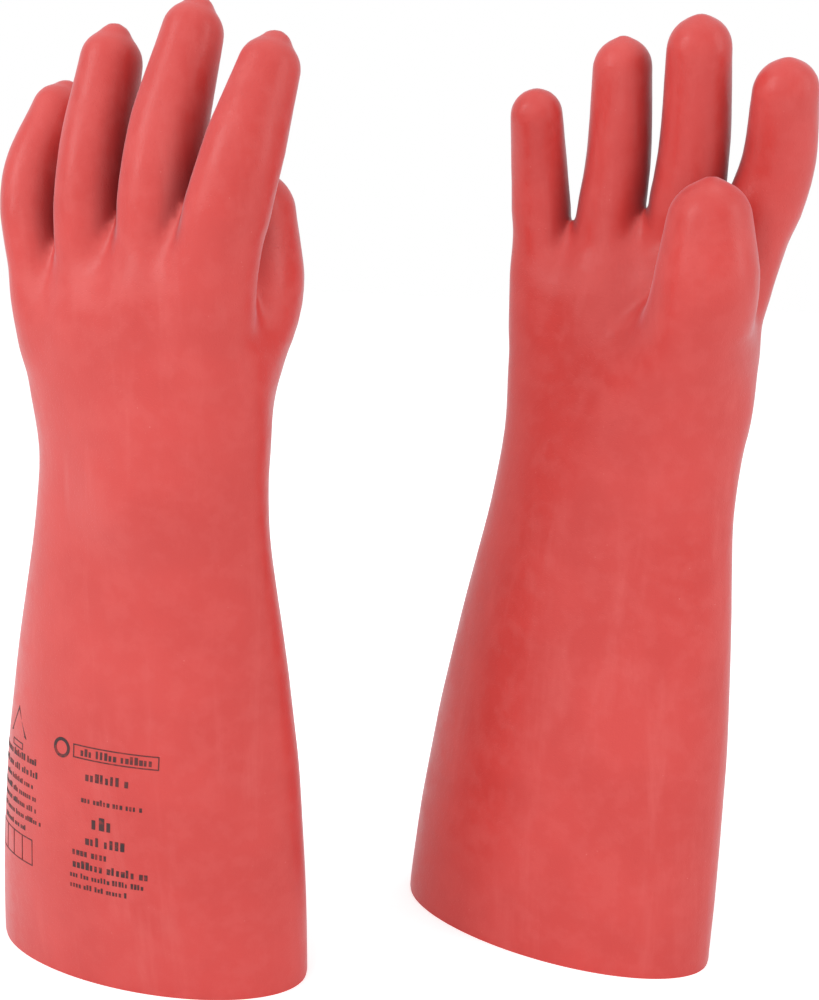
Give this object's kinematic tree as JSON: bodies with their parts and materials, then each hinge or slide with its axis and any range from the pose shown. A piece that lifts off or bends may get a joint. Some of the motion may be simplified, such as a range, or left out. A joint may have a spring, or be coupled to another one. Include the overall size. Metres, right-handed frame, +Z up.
{
  "type": "pair of electrical insulating gloves",
  "caption": "Pair of long gauntlet gloves in thick dipped insulating rubber, standing on straight-cut cuffs, with curved fingers and thumbs that bend and spring back.",
  "frame": {"origin": "middle of the pair's footprint box, on the surface that the gloves stand on", "axes": "+Z up the arm from cuff to fingertips; the left glove shows its back and the right glove its palm towards -Y; thumbs point towards +X"},
  "size_m": [0.33, 0.1924, 0.407],
  "materials": {
    "red_rubber": "satin dipped natural rubber, salmon red with a faint pale bloom",
    "marking_ink": "matt dark ink printed on the back of each cuff"
  },
  "bodies": {
    "left_gauntlet": {"left_gauntlet": "red_rubber"},
    "left_hand": {"left_hand": "red_rubber"},
    "left_thumb": {"left_thumb": "red_rubber"},
    "left_index_finger": {"left_index_finger": "red_rubber"},
    "left_middle_finger": {"left_middle_finger": "red_rubber"},
    "left_ring_finger": {"left_ring_finger": "red_rubber"},
    "left_little_finger": {"left_little_finger": "red_rubber"},
    "right_gauntlet": {"right_gauntlet": "red_rubber"},
    "right_hand": {"right_hand": "red_rubber"},
    "right_thumb": {"right_thumb": "red_rubber"},
    "right_index_finger": {"right_index_finger": "red_rubber"},
    "right_middle_finger": {"right_middle_finger": "red_rubber"},
    "right_ring_finger": {"right_ring_finger": "red_rubber"},
    "right_little_finger": {"right_little_finger": "red_rubber"}
  },
  "joints": [
    {"name": "right_glove_slide", "type": "slide", "parent": "left_gauntlet", "child": "right_gauntlet", "axis": [1, 0, 0], "range_m": [0, 0.15]},
    {"name": "left_wrist_bend", "type": "hinge", "parent": "left_gauntlet", "child": "left_hand", "pos_m": [-0.06761, -0.0631, 0.235], "axis": [-0.9997, 0.0262, 0], "range_deg": [-20, 25], "stiffness_Nm_per_rad": 1.5},
    {"name": "left_thumb_bend", "type": "hinge", "parent": "left_hand", "child": "left_thumb", "pos_m": [-0.02601, -0.04053, 0.30744], "axis": [-0.6428, -0.766, 0], "range_deg": [-5, 35], "stiffness_Nm_per_rad": 0.12},
    {"name": "left_index_finger_bend", "type": "hinge", "parent": "left_hand", "child": "left_index_finger", "pos_m": [-0.01223, -0.08036, 0.3375], "axis": [-0.9976, 0.0698, 0], "range_deg": [-10, 45], "stiffness_Nm_per_rad": 0.08},
    {"name": "left_middle_finger_bend", "type": "hinge", "parent": "left_hand", "child": "left_middle_finger", "pos_m": [-0.04608, -0.07709, 0.34626], "axis": [-0.9976, 0.0698, 0], "range_deg": [-10, 45], "stiffness_Nm_per_rad": 0.08},
    {"name": "left_ring_finger_bend", "type": "hinge", "parent": "left_hand", "child": "left_ring_finger", "pos_m": [-0.07842, -0.07615, 0.34163], "axis": [-0.9976, 0.0698, 0], "range_deg": [-10, 45], "stiffness_Nm_per_rad": 0.08},
    {"name": "left_little_finger_bend", "type": "hinge", "parent": "left_hand", "child": "left_little_finger", "pos_m": [-0.11091, -0.07269, 0.33351], "axis": [-0.9976, 0.0698, 0], "range_deg": [-10, 45], "stiffness_Nm_per_rad": 0.08},
    {"name": "right_wrist_bend", "type": "hinge", "parent": "right_gauntlet", "child": "right_hand", "pos_m": [0.0901, 0.06363, 0.235], "axis": [1, 0.0087, 0], "range_deg": [-20, 25], "stiffness_Nm_per_rad": 1.5},
    {"name": "right_thumb_bend", "type": "hinge", "parent": "right_hand", "child": "right_thumb", "pos_m": [0.1313, 0.04034, 0.30744], "axis": [0.6293, -0.7771, 0], "range_deg": [-5, 35], "stiffness_Nm_per_rad": 0.12},
    {"name": "right_index_finger_bend", "type": "hinge", "parent": "right_hand", "child": "right_index_finger", "pos_m": [0.14577, 0.07992, 0.3375], "axis": [0.9986, 0.0523, 0], "range_deg": [-10, 45], "stiffness_Nm_per_rad": 0.08},
    {"name": "right_middle_finger_bend", "type": "hinge", "parent": "right_hand", "child": "right_middle_finger", "pos_m": [0.11187, 0.07724, 0.34626], "axis": [0.9986, 0.0523, 0], "range_deg": [-10, 45], "stiffness_Nm_per_rad": 0.08},
    {"name": "right_ring_finger_bend", "type": "hinge", "parent": "right_hand", "child": "right_ring_finger", "pos_m": [0.07951, 0.07687, 0.34163], "axis": [0.9986, 0.0523, 0], "range_deg": [-10, 45], "stiffness_Nm_per_rad": 0.08},
    {"name": "right_little_finger_bend", "type": "hinge", "parent": "right_hand", "child": "right_little_finger", "pos_m": [0.04697, 0.07397, 0.33351], "axis": [0.9986, 0.0523, 0], "range_deg": [-10, 45], "stiffness_Nm_per_rad": 0.08}
  ]
}
